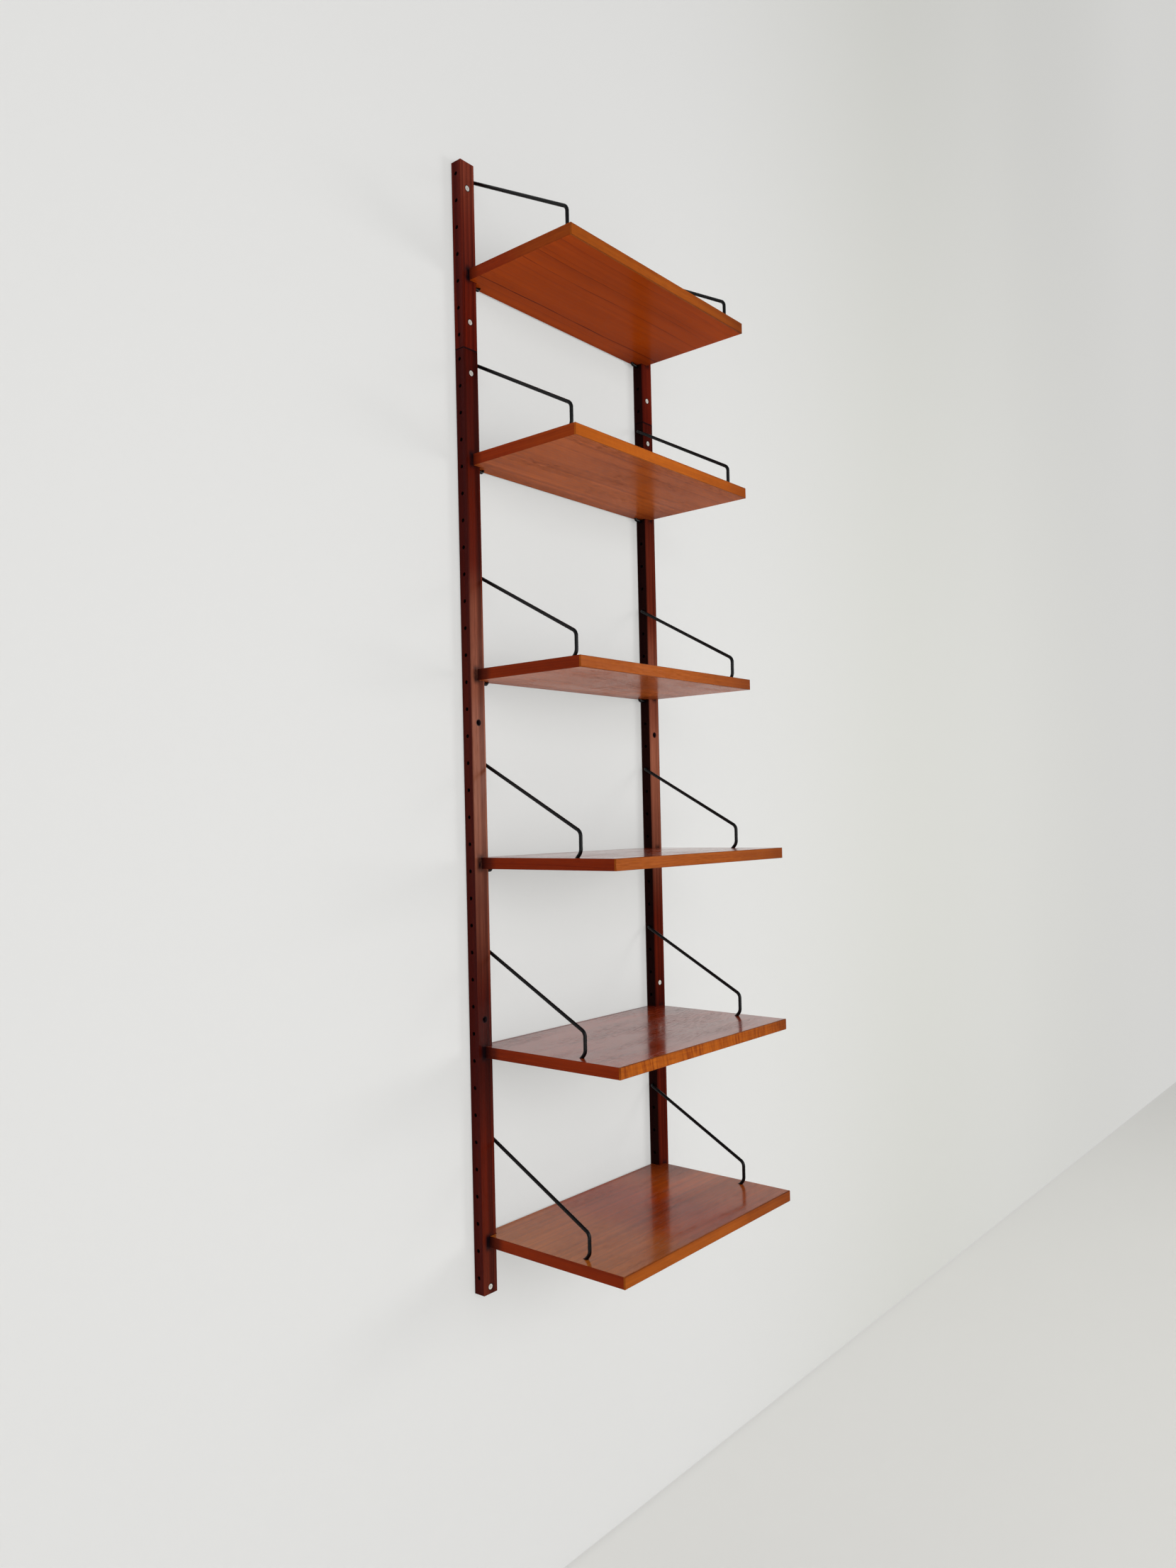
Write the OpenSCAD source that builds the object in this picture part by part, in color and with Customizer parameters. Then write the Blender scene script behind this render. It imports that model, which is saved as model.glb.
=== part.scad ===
// Wall-hung bookcase: two screwed-on wooden rails with hook holes, and six adjustable shelves, each resting on two
// bent pins at the back and hanging from two bent rods at the front.
// X runs along the wall, the fronts face -Y, and the wall is the plane Y = 0. The origin lies in the wall, at the middle
// of the four outermost screws. The modules measure heights from the foot of the rails.

/* [Bay] */
// Distance between the centre lines of the two rails
bay_w = 500; // [400:5:700]
// Pitch of the hook holes up the rails
hole_pitch = 45; // [37:1:60]

/* [Rails] */
// Width of a rail across its front
rail_w = 33; // [27:1:45]
// Depth of a rail from the wall to its front
rail_d = 21; // [17:1:32]
// Radius on the long edges and on the end corners of a rail
rail_round = 1.5; // [0.5:0.25:3]
// Number of hook holes up a lower rail
lower_rows = 35; // [35:1:50]
// Number of hook holes up an upper rail
upper_rows = 7; // [7:1:20]
// Height of the lowest hook hole above the foot of a lower rail
lower_first_hole = 28; // [18:0.5:30]
// Height of the lowest hook hole above the foot of an upper rail
upper_first_hole = 23.5; // [18:0.5:30]
// Depth of a hook hole from the side of a rail
hook_hole_depth = 12; // [8:0.5:12.5]

/* [Shelves] */
// Thickness of a shelf
shelf_t = 19; // [16:0.5:30]
// Depth of a shallow shelf from its back edge to its front
shallow_d = 240; // [235:5:400]
// Depth of a deep shelf from its back edge to its front
deep_d = 300; // [235:5:450]
// Number of shallow shelves, counted from the top
shallow_count = 3; // [0:1:6]
// Hook row under each shelf, counted from the foot of the rails, the top shelf first
shelf_row = [38, 31, 23, 16, 9, 2]; // [1:1:38]
// Gap between the wall and the back edge of a shelf
wall_gap = 4; // [1:0.5:8]
// Gap between a rail and the notch around it
notch_gap = 0.8; // [0.5:0.1:3]
// Thickness of the strip along the front edge of a shelf
strip_t = 3; // [2:0.5:12]
// Radius on the front edges of that strip
strip_round = 0.8; // [0.25:0.05:1.5]

/* [Rods] */
// Diameter of the bent rods
rod_d = 6; // [4:0.25:8]
// Gap around a rod in a hook hole
hook_gap = 0.3; // [0.2:0.05:0.6]
// Gap around a rod in a hole of a shelf
socket_gap = 0.5; // [0.4:0.05:1]
// Gap between the end of a rod and the bottom of its hole
end_gap = 1; // [0.5:0.1:2]
// Gap between a shelf and the pins that it rests on
seat_gap = 0.3; // [0.1:0.05:0.5]

/* [Rear pins] */
// Distance from the side of a rail to the standing leg of a rear pin
pin_reach = 16.5; // [12:0.5:30]
// Height of the standing leg of a rear pin inside its shelf
pin_rise = 13; // [6:0.5:14]
// Radius of the bend in a rear pin
pin_bend_r = 4; // [4:0.25:4.5]

/* [Hangers] */
// Rows from the pins of a shelf up to the hook holes of its hangers
hanger_rows = 4; // [3:1:5]
// Gap between a hanger and the side of its rail
hanger_gap = 1.5; // [1.5:0.25:5]
// Distance from the wall to the upright part of a hanger
hanger_reach = 219; // [170:1:222]
// Height of the elbow above the shelf
elbow_up = 41; // [36:1:60]
// Height of the heel, where the upright part turns back to its hole, above the shelf
heel_up = 8.5; // [6:0.5:12]
// Bend radius of the elbow
elbow_r = 12; // [8:0.5:20]
// Bend radius of the heel
heel_r = 15; // [8:0.5:18]
// Angle between the upright part and the end that enters the shelf
heel_angle = 42.5; // [38:0.5:48]
// Length of a hanger inside its shelf, along its slanted hole
hanger_sink = 13; // [8:0.5:14]

/* [Wall screws] */
// Diameter of a screw head
head_d = 9; // [7:0.5:10]
// Diameter of a screw over its thread
thread_d = 4.5; // [3.5:0.25:5]
// Diameter of the smooth neck of a screw, between its head and the wall
neck_d = 3.4; // [2.5:0.1:3.4]
// Length of a screw
screw_l = 50; // [40:5:80]
// Gap around a screw in its hole
screw_gap = 0.25; // [0.1:0.05:0.5]
// Height of the lowest screw above the foot of a rail
foot_screw_up = 11.5; // [8:0.5:15]
// Rows with a screw hole half a pitch above them
screw_hole_rows = [10, 21, 34, 36, 41]; // [1:1:41]
// Those of them that hold a screw on the left rail
left_screw_rows = [34, 36, 41]; // [1:1:41]
// Those of them that hold a screw on the right rail
right_screw_rows = [10, 34, 36, 41]; // [1:1:41]

/* [Hidden] */
$fn = 64;
SHELVES = [1:len(shelf_row)];
SIDES = ["left", "right"];

rail_side_x = (bay_w - rail_w) / 2;         // inner side of a rail
hole_y = -rail_d / 2;                       // hook holes lie at the middle of a rail's depth
lower_rail_h = lower_rows * hole_pitch;
upper_rail_h = upper_rows * hole_pitch;
head_h = (head_d - neck_d) / 2;             // a countersunk head with sides at 45 degrees
recess_w = 0.5 * head_d;                    // cross recess in a screw head, seen from the front
recess_tip_w = 1.4;                         // and at its bottom
recess_t = 1.1;
recess_deep = 2.4;
screw_tip_l = 8;
cut = 1;                                    // how far a cut runs past a face
bend_lap = 0.2;                             // how far a bend laps over the straight lengths beside it
bend_swell = 0.06;                          // how much thicker a bend is than the rod

hook_hole_d = rod_d + 2 * hook_gap;
socket_d = rod_d + 2 * socket_gap;
hook_depth = hook_hole_depth - end_gap;     // length of rod inside a hook hole
shelf_drop = rod_d / 2 + seat_gap;          // from the axis of a hook hole up to the underside of a shelf on it

// Each hanger as seen from its side, measured forwards and upwards from its hook hole
hanger_bend_r = rod_d / 2 + hanger_gap;
hanger_reach_y = hanger_reach + hole_y;
hanger_fall = hanger_rows * hole_pitch - shelf_drop - shelf_t;
elbow_fall = hanger_fall - elbow_up;
slope = atan2(elbow_fall, hanger_reach_y);
elbow_angle = 90 - slope;
heel_y = hole_y - hanger_reach_y;

function setback(radius, angle) = radius * tan(angle / 2);
function row_z(row) = row <= lower_rows
    ? lower_first_hole + (row - 1) * hole_pitch
    : lower_rail_h + upper_first_hole + (row - lower_rows - 1) * hole_pitch;
function shelf_z(k) = row_z(shelf_row[k - 1]) + shelf_drop;
function shelf_d(k) = k <= shallow_count ? shallow_d : deep_d;
function screw_z(row) = row_z(row) + hole_pitch / 2;
origin_up = (foot_screw_up + screw_z(max(left_screw_rows))) / 2;    // height of the origin above the foot of the rails

// Draws its children on the left as they are, and on the right as their mirror image
module on_side(side) {
    mirror([side == "right" ? 1 : 0, 0, 0]) children();
}

module rounded_rect(w, h, r) {
    translate([r, 0]) square([w - 2 * r, h]);
    translate([0, r]) square([w, h - 2 * r]);
    for (x = [r, w - r], y = [r, h - r]) {
        translate([x, y]) circle(r);
    }
}

// One bend around the origin, from -Y round towards +X. It laps a little over the straight lengths at its ends.
module rod_bend(radius, angle) {
    lap = bend_lap / radius * 180 / PI;
    rotate([0, 0, -90 - lap]) rotate_extrude(angle = angle + 2 * lap)
        translate([radius, 0]) circle(d = rod_d + bend_swell);
}

// A rod bent on a wire bender, starting at the origin towards +X. Each step feeds a straight length, bends it to the
// left by an angle at a radius, and rolls the rod about its own axis before the next step.
module bent_rod(steps) {
    feed = steps[0][0];
    angle = steps[0][1];
    radius = steps[0][2];
    roll = steps[0][3];
    rotate([0, 90, 0]) cylinder(d = rod_d, h = feed);
    if (len(steps) > 1) {
        translate([feed, radius, 0]) {
            rod_bend(radius, angle);
            rotate([0, 0, angle]) translate([0, -radius, 0]) rotate([roll, 0, 0])
                bent_rod([for (i = [1:len(steps) - 1]) steps[i]]);
        }
    }
}

// Lowers its children from the foot of the rails to the origin
module from_foot() {
    translate([0, 0, -origin_up]) children();
}

// ---- Rails ----

// Hook holes in both sides of a rail that stands on the origin
module hook_holes(first_hole, rows) {
    for (n = [0:rows - 1], turn = [0, 180]) {
        translate([0, hole_y, first_hole + n * hole_pitch]) rotate([0, 0, turn])
            translate([rail_w / 2 - hook_hole_depth, 0, 0]) rotate([0, 90, 0])
                cylinder(d = hook_hole_d, h = hook_hole_depth + cut);
    }
}

// Countersunk hole through a rail, at the origin in its front face
module screw_hole() {
    rotate([-90, 0, 0]) {
        cylinder(d = thread_d + 2 * screw_gap, h = rail_d + cut);
        translate([0, 0, -cut]) cylinder(d1 = head_d + 2 * (screw_gap + cut), d2 = 0, h = head_d / 2 + screw_gap + cut);
    }
}

// One piece of a rail, standing on the origin
module rail_piece(h, first_hole, rows, screw_heights) {
    difference() {
        intersection() {
            translate([-rail_w / 2, -rail_d, 0]) linear_extrude(h) rounded_rect(rail_w, rail_d, rail_round);
            translate([-rail_w / 2, cut, 0]) rotate([90, 0, 0])
                linear_extrude(rail_d + 2 * cut) rounded_rect(rail_w, h, rail_round);
        }
        hook_holes(first_hole, rows);
        for (z = screw_heights) {
            translate([0, -rail_d, z]) screw_hole();
        }
    }
}

module lower_rail(side) {
    heights = concat([foot_screw_up], [for (row = screw_hole_rows) if (row <= lower_rows) screw_z(row)]);
    color("#7a3428") on_side(side) translate([-bay_w / 2, 0, 0])
        rail_piece(lower_rail_h, lower_first_hole, lower_rows, heights);
}

module upper_rail(side) {
    heights = [for (row = screw_hole_rows) if (row > lower_rows) screw_z(row) - lower_rail_h];
    color("#8c3c2c") on_side(side) translate([-bay_w / 2, 0, lower_rail_h])
        rail_piece(upper_rail_h, upper_first_hole, upper_rows, heights);
}

// Cross recess, sunk into the origin along +Y
module cross_recess() {
    for (turn = [0, 90]) {
        rotate([0, turn, 0]) translate([0, 0, -recess_t / 2]) linear_extrude(recess_t)
            polygon([
                [-recess_w / 2, -cut], [recess_w / 2, -cut], [recess_w / 2, 0],
                [recess_tip_w / 2, recess_deep], [-recess_tip_w / 2, recess_deep], [-recess_w / 2, 0]
            ]);
    }
}

// Countersunk wood screw, its head flush with the origin and its tip towards +Y. Its thread starts at the wall.
module wood_screw() {
    difference() {
        rotate([-90, 0, 0]) rotate_extrude()
            polygon([
                [0, 0], [head_d / 2, 0], [neck_d / 2, head_h], [neck_d / 2, rail_d],
                [thread_d / 2, rail_d], [thread_d / 2, screw_l - screw_tip_l], [0, screw_l]
            ]);
        cross_recess();
    }
}

module wall_screws() {
    color("#c8c8c4") for (side = SIDES) {
        rows = side == "left" ? left_screw_rows : right_screw_rows;
        for (z = concat([foot_screw_up], [for (row = rows) screw_z(row)])) {
            on_side(side) translate([-bay_w / 2, -rail_d, z]) wood_screw();
        }
    }
}

// ---- Shelves ----

// Outline of a shelf from above, with its back corners cut out around the rails
module shelf_outline(depth) {
    notch_x = rail_side_x - notch_gap;
    notch_y = -rail_d - notch_gap;
    half_w = bay_w / 2;
    polygon([
        [-half_w, -depth], [half_w, -depth], [half_w, notch_y], [notch_x, notch_y],
        [notch_x, -wall_gap], [-notch_x, -wall_gap], [-notch_x, notch_y], [-half_w, notch_y]
    ]);
}

// Blind hole in the underside of a shelf for the standing leg of a rear pin
module pin_socket() {
    depth = pin_rise + end_gap;
    translate([-rail_side_x + pin_reach, hole_y, -cut]) cylinder(d = socket_d, h = depth + cut);
}

// Slanted blind hole in the top of a shelf for the end of a hanger
module hanger_socket() {
    length = heel_up / cos(heel_angle) + hanger_sink + end_gap;
    translate([-rail_side_x + hanger_bend_r, heel_y, shelf_t + heel_up]) rotate([180 + heel_angle, 0, 0])
        cylinder(d = socket_d, h = length);
}

module shelf_panel(k) {
    color("#a8623a") translate([0, 0, shelf_z(k)]) difference() {
        linear_extrude(shelf_t) shelf_outline(wall_gap + shelf_d(k) - strip_t);
        for (side = SIDES) {
            on_side(side) {
                pin_socket();
                hanger_socket();
            }
        }
    }
}

module shelf_front_strip(k) {
    front_y = -wall_gap - shelf_d(k);
    color("#c8803a") translate([-bay_w / 2, front_y, shelf_z(k)]) rotate([90, 0, 90]) linear_extrude(bay_w)
        intersection() {
            rounded_rect(2 * strip_t, shelf_t, strip_round);
            square([strip_t, shelf_t]);
        }
}

// ---- Rods ----

module rear_pin(k, side) {
    out = hook_depth + pin_reach - pin_bend_r;
    up = shelf_drop + pin_rise - pin_bend_r;
    color("#26262a") on_side(side)
        translate([-rail_side_x - hook_depth, hole_y, row_z(shelf_row[k - 1])]) rotate([90, 0, 0])
            bent_rod([[out, 90, pin_bend_r, 0], [up, 0, 0, 0]]);
}

module hanger(k, side) {
    run = norm([hanger_reach_y, elbow_fall]) - hanger_bend_r - setback(elbow_r, elbow_angle);
    upright = elbow_up - heel_up - setback(elbow_r, elbow_angle) - setback(heel_r, heel_angle);
    end = heel_up / cos(heel_angle) + hanger_sink - setback(heel_r, heel_angle);
    color("#26262a") on_side(side)
        translate([-rail_side_x - hook_depth, hole_y, row_z(shelf_row[k - 1] + hanger_rows)])
            rotate([180 + slope, 0, 0])
                bent_rod([
                    [hook_depth, 90, hanger_bend_r, 90],
                    [run, elbow_angle, elbow_r, 0],
                    [upright, heel_angle, heel_r, 0],
                    [end, 0, 0, 0]
                ]);
}

from_foot() lower_rail("left");  // lower_rail_left
from_foot() lower_rail("right");  // lower_rail_right
from_foot() upper_rail("left");  // upper_rail_left
from_foot() upper_rail("right");  // upper_rail_right
from_foot() wall_screws();
for (k = SHELVES) {
    from_foot() shelf_panel(k);
    from_foot() shelf_front_strip(k);
    for (side = SIDES) {
        from_foot() rear_pin(k, side);
        from_foot() hanger(k, side);
    }
}
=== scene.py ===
"""Looks of a wall-hung bookcase: teak boards hooked into wooden wall rails on bent black rods.

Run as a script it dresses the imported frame, cuts and turns the pieces that the frame only stands in for, and sets the
stage. Laid out as an add-on, so each step is also an operator with its settings in the 3D view's sidebar.
"""

import math
from functools import partial
from typing import NamedTuple

import bmesh
import bpy
from bpy.props import FloatProperty, FloatVectorProperty, PointerProperty
from mathutils import Matrix, Vector


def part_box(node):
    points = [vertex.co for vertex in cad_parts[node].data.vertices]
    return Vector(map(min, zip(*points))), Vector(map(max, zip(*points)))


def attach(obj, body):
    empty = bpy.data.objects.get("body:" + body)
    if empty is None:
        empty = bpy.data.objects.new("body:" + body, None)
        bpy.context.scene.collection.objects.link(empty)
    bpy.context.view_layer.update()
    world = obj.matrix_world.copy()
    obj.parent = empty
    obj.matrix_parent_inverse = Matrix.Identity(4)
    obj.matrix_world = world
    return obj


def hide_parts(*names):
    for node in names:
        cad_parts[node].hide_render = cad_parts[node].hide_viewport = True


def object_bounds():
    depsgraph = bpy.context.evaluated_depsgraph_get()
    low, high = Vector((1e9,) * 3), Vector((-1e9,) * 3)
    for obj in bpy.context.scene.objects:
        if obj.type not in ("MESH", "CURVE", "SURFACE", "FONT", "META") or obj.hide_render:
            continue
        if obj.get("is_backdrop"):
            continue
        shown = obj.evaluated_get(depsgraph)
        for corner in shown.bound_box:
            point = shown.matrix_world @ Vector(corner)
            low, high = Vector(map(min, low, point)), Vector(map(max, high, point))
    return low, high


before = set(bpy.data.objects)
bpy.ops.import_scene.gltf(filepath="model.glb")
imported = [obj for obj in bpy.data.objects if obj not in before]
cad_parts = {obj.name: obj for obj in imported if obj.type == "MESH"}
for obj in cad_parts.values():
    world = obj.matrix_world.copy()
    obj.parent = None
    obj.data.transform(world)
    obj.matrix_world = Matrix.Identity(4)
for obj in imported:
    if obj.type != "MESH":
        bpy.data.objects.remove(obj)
CAD_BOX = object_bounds()

bl_info = {
    "name": "Wall-hung bookcase",
    "version": (1, 0, 0),
    "blender": (4, 5, 0),
    "location": "3D View > Sidebar > Bookcase",
    "description": "Teak shelves on bent black rods between two wall rails",
    "category": "Add Mesh",
}

# Sizes of the frame that the painted shade, painted highlights and darkened sides go by, in metres
RAIL_X = 0.25
RAIL_HALF_WIDTH = 0.0165
RAIL_DEPTH = 0.021
RAIL_JOINT = 0.64625
BOARD_HALF_THICKNESS = 0.0095
SHADE_PAST_BOARD = 0.0025
SCREW_HEIGHTS = (-0.91725, -0.47325, 0.02175, 0.60675, 0.69225, 0.91725)

# Edges: how near to a plane counts as on it, the angle from which they are rubbed, and the shortest one that is
ON_PLANE = 1e-5
SHARP = math.radians(40)
SHORTEST_RUBBED = 0.005

# The wall screws, in metres: where their necks end, the core that starts inside the neck, and the thread round it
NECK_END = -0.0004
CORE_IN_NECK = 0.001
CORE_TIP_RADIUS = 0.0001
CORE_STEPS = 16
THREAD_CREST = 0.00225
THREAD_SUNK = 0.0003
THREAD_START = 0.0016
THREAD_RUN_OUT = 0.003
THREAD_POINT = 0.008
THREAD_REACH = 0.003
THREAD_STEPS = 18

# The room, in metres, the pale glows that even out its wall and floor, and where its lamps point
WALL_SIZE = (16, 10)
FLOOR_SIZE = (16, 8)
ROOM_X = 3.0
WALL_GLOW = (0.765, 0.762, 0.75)
WALL_GLOW_SHARES = ((1.4, 0.38), (2.4, 0.55), (4.5, 0.74))
FLOOR_GLOW = (0.9, 0.895, 0.87)
FLOOR_GLOW_SHARE = 0.38
LAMP_TARGET = Vector((0, -0.1, 0))

# Rotations that lay a piece's fibres along an axis
ALONG_X = (0, 0, 0)
ALONG_Y = (0, 0, math.radians(90))
ALONG_Z = (0, math.radians(90), 0)


class RailLook(NamedTuple):
    """One rail piece: where its plank lay in the trunk, how dark its side is laid (painted shade on the right rails'
    inner sides), and the stops of the painted highlight up its front.
    """

    cut: tuple
    lean: float
    side_darkening: float
    paling: tuple


class FaceLook(NamedTuple):
    """The veneer on one face of a shelf: its wood and polish, its grain, and the stops where it is worn golden."""

    wood: str
    roughness: float
    gloss: float
    ring_spacing: float
    ring_lines: float
    pores: float
    worn: tuple = ()


class ShelfLook(NamedTuple):
    """One shelf. painted_shade is the share and reach of the painted shade on its ends beside the rails, and pale_front
    how pale they get in front.
    """

    top: FaceLook
    under: FaceLook
    edge_tone: float
    painted_shade: tuple
    strip_tone: float
    pale_front: float = 0.0
    ribbon: float = 0.08


# Stops along a piece: a place in metres, and the share there
# Painted highlight: stops of the window's reflection up the rails' fronts, laid in as paler wood.
UPPER_RAIL_SHEEN = ((0.6, 0.0), (0.75, 0.05), (0.84, 0.1), (0.93, 0.25))
RAIL_LOOKS = {
    "lower_rail_left": RailLook(
        cut=(0.3, 0.05, -0.38), lean=0.004, side_darkening=0.75, paling=(
            (-0.95, 0.1), (-0.72, 0.0), (-0.45, 0.0), (-0.3, 0.48), (-0.12, 1.0), (0.08, 0.6), (0.2, 0.45), (0.3, 0.0),
        ),
    ),
    "lower_rail_right": RailLook(
        cut=(1.9, 0.06, 0.37), lean=-0.003, side_darkening=0.92, paling=(
            (-0.95, 0.0), (-0.36, 0.0), (-0.16, 0.6), (-0.02, 0.7), (0.08, 0.4), (0.16, 0.45), (0.26, 0.1),
        ),
    ),
    "upper_rail_left": RailLook(cut=(3.1, 0.04, -0.37), lean=0.012, side_darkening=0.35, paling=UPPER_RAIL_SHEEN),
    "upper_rail_right": RailLook(cut=(4.6, 0.05, 0.36), lean=0.002, side_darkening=0.92, paling=UPPER_RAIL_SHEEN),
}
# Painted shade: stops of the darker stretches up the rails' fronts, where they lie in shade.
RAIL_IN_SHADE = {
    "lower": (
        (-0.95, 0.2), (-0.7, 0.35), (-0.53, 0.8), (-0.4, 0.2), (0.2, 0.1), (0.35, 0.3), (0.58, 0.85), (0.65, 0.9),
    ),
    "upper": ((0.64, 0.5), (0.75, 0.35), (0.8, 0.1), (0.97, 0.0)),
}
WORN_GOLDEN = ((-0.25, 0.75), (-0.12, 0.55), (-0.03, 0.1), (0.05, 0.0), (0.15, 0.25), (0.25, 0.4))
STRIP_DARKENED = ((-0.25, 0.15), (-0.12, 0.0), (0.05, 0.0), (0.16, 0.35), (0.25, 0.75))

SHORT_END_SHADE = (0.3, 0.022)
LONG_END_SHADE = (0.6, 0.034)
SHELF_LOOKS = {
    1: ShelfLook(
        FaceLook("golden", 0.2, 0.3, 0.012, 0.3, 0.42), FaceLook("under", 0.17, 0.01, 0.019, 1.0, 0.22),
        edge_tone=1.12, painted_shade=SHORT_END_SHADE, strip_tone=1.05, pale_front=0.5,
    ),
    2: ShelfLook(
        FaceLook("golden", 0.2, 0.3, 0.012, 0.3, 0.6), FaceLook("golden", 0.17, 0.016, 0.014, 0.25, 0.6),
        edge_tone=1.12, painted_shade=SHORT_END_SHADE, strip_tone=1.25, pale_front=0.2,
    ),
    3: ShelfLook(
        FaceLook("golden", 0.2, 0.3, 0.012, 0.3, 0.42), FaceLook("golden", 0.17, 0.021, 0.014, 0.25, 0.4),
        edge_tone=0.94, painted_shade=LONG_END_SHADE, strip_tone=1.12,
    ),
    4: ShelfLook(
        FaceLook("top", 0.08, 0.9, 0.012, 0.3, 0.42), FaceLook("under", 0.17, 0.021, 0.014, 0.25, 0.4),
        edge_tone=1.02, painted_shade=LONG_END_SHADE, strip_tone=1.03,
    ),
    5: ShelfLook(
        FaceLook("top", 0.11, 0.9, 0.012, 0.5, 0.8), FaceLook("under", 0.17, 0.021, 0.014, 0.25, 0.6),
        edge_tone=1.02, painted_shade=LONG_END_SHADE, strip_tone=1.05, ribbon=0.85,
    ),
    6: ShelfLook(
        FaceLook("low_top", 0.1, 0.2, 0.012, 0.3, 0.42, WORN_GOLDEN), FaceLook("under", 0.17, 0.021, 0.014, 0.25, 0.4),
        edge_tone=1.02, painted_shade=LONG_END_SHADE, strip_tone=0.97,
    ),
}


def paint(red, green, blue):
    """Scene colour of a colour written with its channels from 0 to 255."""
    return tuple(
        c / 12.92 if c <= 0.04045 else ((c + 0.055) / 1.055) ** 2.4
        for c in (red / 255, green / 255, blue / 255)
    )


def toned(colours, tone):
    return [[channel * tone for channel in colour] for colour in colours]


def colour_property(name, description, default):
    return FloatVectorProperty(
        name=name, description=description, default=paint(*default), size=3, min=0, max=1, subtype="COLOR"
    )


def length_property(name, description, default, low, high):
    return FloatProperty(name=name, description=description, default=default, min=low, max=high, unit="LENGTH")


def roughness_property(name, description, default):
    return FloatProperty(name=name, description=description, default=default, min=0.05, max=1, subtype="FACTOR")


def light_property(name, description, default, unit="NONE"):
    return FloatProperty(name=name, description=description, default=default, min=0, unit=unit)


# ---- Settings ----


class TeakSettings(bpy.types.PropertyGroup):
    """Colours, grain and lacquer of the wooden pieces."""

    rail_light: colour_property("Rail, early wood", "Lighter wood of the lower rails", (130, 39, 15))
    rail_dark: colour_property("Rail, late wood", "Darker wood of the lower rails", (50, 8, 5))
    top_rail_light: colour_property("Upper rail, early wood", "Lighter wood of the upper rails", (136, 34, 11))
    top_rail_dark: colour_property("Upper rail, late wood", "Darker wood of the upper rails", (78, 15, 9))
    top_light: colour_property("Shelf top, early wood", "Lighter wood of the veneer on top", (196, 69, 14))
    top_dark: colour_property("Shelf top, late wood", "Darker wood of the veneer on top", (118, 36, 8))
    low_top_light: colour_property("Lowest top, early wood", "Lighter wood on top of the lowest shelf", (202, 74, 9))
    low_top_dark: colour_property("Lowest top, late wood", "Darker wood on top of the lowest shelf", (112, 35, 5))
    worn_top_light: colour_property("Worn top, early wood", "Lighter wood where a top is worn golden", (222, 130, 44))
    worn_top_dark: colour_property("Worn top, late wood", "Darker wood where a top is worn golden", (142, 70, 20))
    under_light: colour_property("Underside, early wood", "Lighter wood of the veneer underneath", (192, 77, 14))
    under_dark: colour_property("Underside, late wood", "Darker wood of the veneer underneath", (154, 58, 13))
    golden_light: colour_property("Golden veneer, early wood", "Lighter wood of the golden veneer", (218, 111, 45))
    golden_dark: colour_property("Golden veneer, late wood", "Darker wood of the golden veneer", (156, 70, 30))
    edge_light: colour_property("Edge veneer, early wood", "Lighter wood of the veneer round the ends", (154, 54, 16))
    edge_dark: colour_property("Edge veneer, late wood", "Darker wood of the veneer round the ends", (106, 28, 9))
    strip_light: colour_property("Front strip, early wood", "Lighter wood of the front strips", (185, 98, 27))
    strip_dark: colour_property("Front strip, late wood", "Darker wood of the front strips", (136, 60, 15))
    pore: colour_property("Pores", "Open pores and ring lines", (58, 14, 8))
    # Painted highlight: paler wood up the rails' fronts where they mirror the window.
    paling_light: colour_property("Faded rail, early wood", "Lighter wood where the rails are bleached", (198, 127, 98))
    paling_dark: colour_property("Faded rail, late wood", "Darker wood where the rails are bleached", (104, 50, 34))
    # Painted shade: darker wood up the rails' fronts and at the shelves' back corners.
    deep_light: colour_property("Deep polish, early wood", "Lighter wood where the lacquer is dark", (80, 16, 10))
    deep_dark: colour_property("Deep polish, late wood", "Darker wood where the lacquer is dark", (30, 5, 4))
    # Painted shade: contact shadows where the shelves' ends meet the rails and on the ends beside them, round the
    # screws, and in the rails' holes and seam.
    painted_shade: colour_property("Bearing marks", "Dark polish where the shelves' ends rub on the rails", (20, 10, 14))
    # Painted shade on the right rails' inner sides, which face away from the light.
    shaded_side: colour_property("Shaded side", "Grime on the right rail's inner side", (24, 11, 11))
    # A darker, redder tone laid on the left rails' outer sides.
    red_side: colour_property("Red side", "Red polish on the left rail's outer side", (60, 9, 9))
    cast: colour_property("Cast", "Tint that the wood throws onto the wall", (158, 152, 147))
    rail_ring_spacing: length_property(
        "Rail ring spacing", "Distance between the growth rings of the rails", 0.011, 0.002, 0.05
    )
    pore_depth: length_property("Pore depth", "How deep the open pores look", 0.00005, 0, 0.001)
    board_roughness: roughness_property("Shelf roughness", "Roughness of the shelves' ends and front strips", 0.24)
    rail_roughness: roughness_property("Rail roughness", "Roughness of the lacquered rails", 0.24)

    def wood(self, name):
        """The early and the late wood of that name."""
        return getattr(self, name + "_light"), getattr(self, name + "_dark")


class BoardSettings(bpy.types.PropertyGroup):
    """How sharp the shelves' edges are."""

    arris: length_property("Arris", "Width of the rubbed edges of a shelf", 0.0005, 0.0001, 0.003)
    strip_arris: length_property("Strip arris", "Width of the rubbed edges of a front strip", 0.0007, 0.0001, 0.003)
    joint: length_property(
        "Joint", "Width of the fine groove between a shelf and its front strip", 0.00012, 0.00005, 0.001
    )


class MetalSettings(bpy.types.PropertyGroup):
    """Finishes of the rods and screws."""

    rod_colour: colour_property("Rods", "Satin black lacquer of the hangers and rear pins", (2, 2, 4))
    rod_roughness: roughness_property("Rod roughness", "Roughness of the black lacquer", 0.28)
    screw_colour: colour_property("Screws", "Zinc plating of the wall screws", (228, 226, 219))
    thread_pitch: length_property("Thread pitch", "Rise of a screw's thread in one turn", 0.0022, 0.001, 0.004)
    core_radius: length_property("Thread core", "Radius of a screw inside its thread", 0.0014, 0.001, 0.002)


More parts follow.
